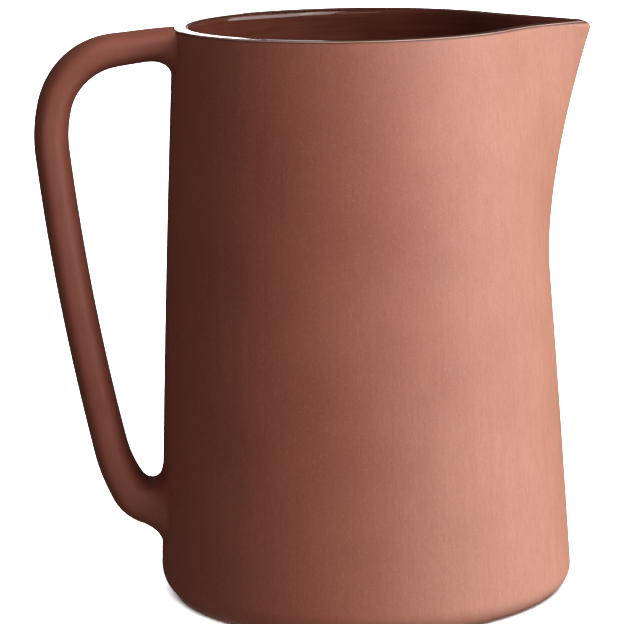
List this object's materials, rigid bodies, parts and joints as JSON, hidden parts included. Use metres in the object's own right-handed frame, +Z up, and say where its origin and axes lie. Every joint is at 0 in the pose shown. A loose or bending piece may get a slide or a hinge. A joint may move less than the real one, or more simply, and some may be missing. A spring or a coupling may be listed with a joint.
{
  "type": "pitcher",
  "caption": "Tapered hand-built stoneware pitcher with a pulled V spout, a side strap handle, matte red-brown clay outside and a clear glazed inside.",
  "frame": {"origin": "centre of the flat underside, on the surface the pitcher stands on", "axes": "+Z up along the axis of the round body, +X towards the spout, -X towards the handle, +Y across"},
  "size_m": [0.1937, 0.1464, 0.2008],
  "materials": {
    "stoneware": "matte, unglazed, fine grain",
    "joint_slip": "matte, fired slip",
    "liner_glaze": "clear gloss glaze over red-brown clay"
  },
  "bodies": {
    "root": {"base_slab": "stoneware", "base_joint_slip": "joint_slip", "body_wall": "stoneware", "inner_seam_coil": "stoneware", "handle": "stoneware", "upper_joint_slip": "joint_slip", "lower_joint_slip": "joint_slip", "liner_glaze": "liner_glaze"}
  },
  "joints": []
}
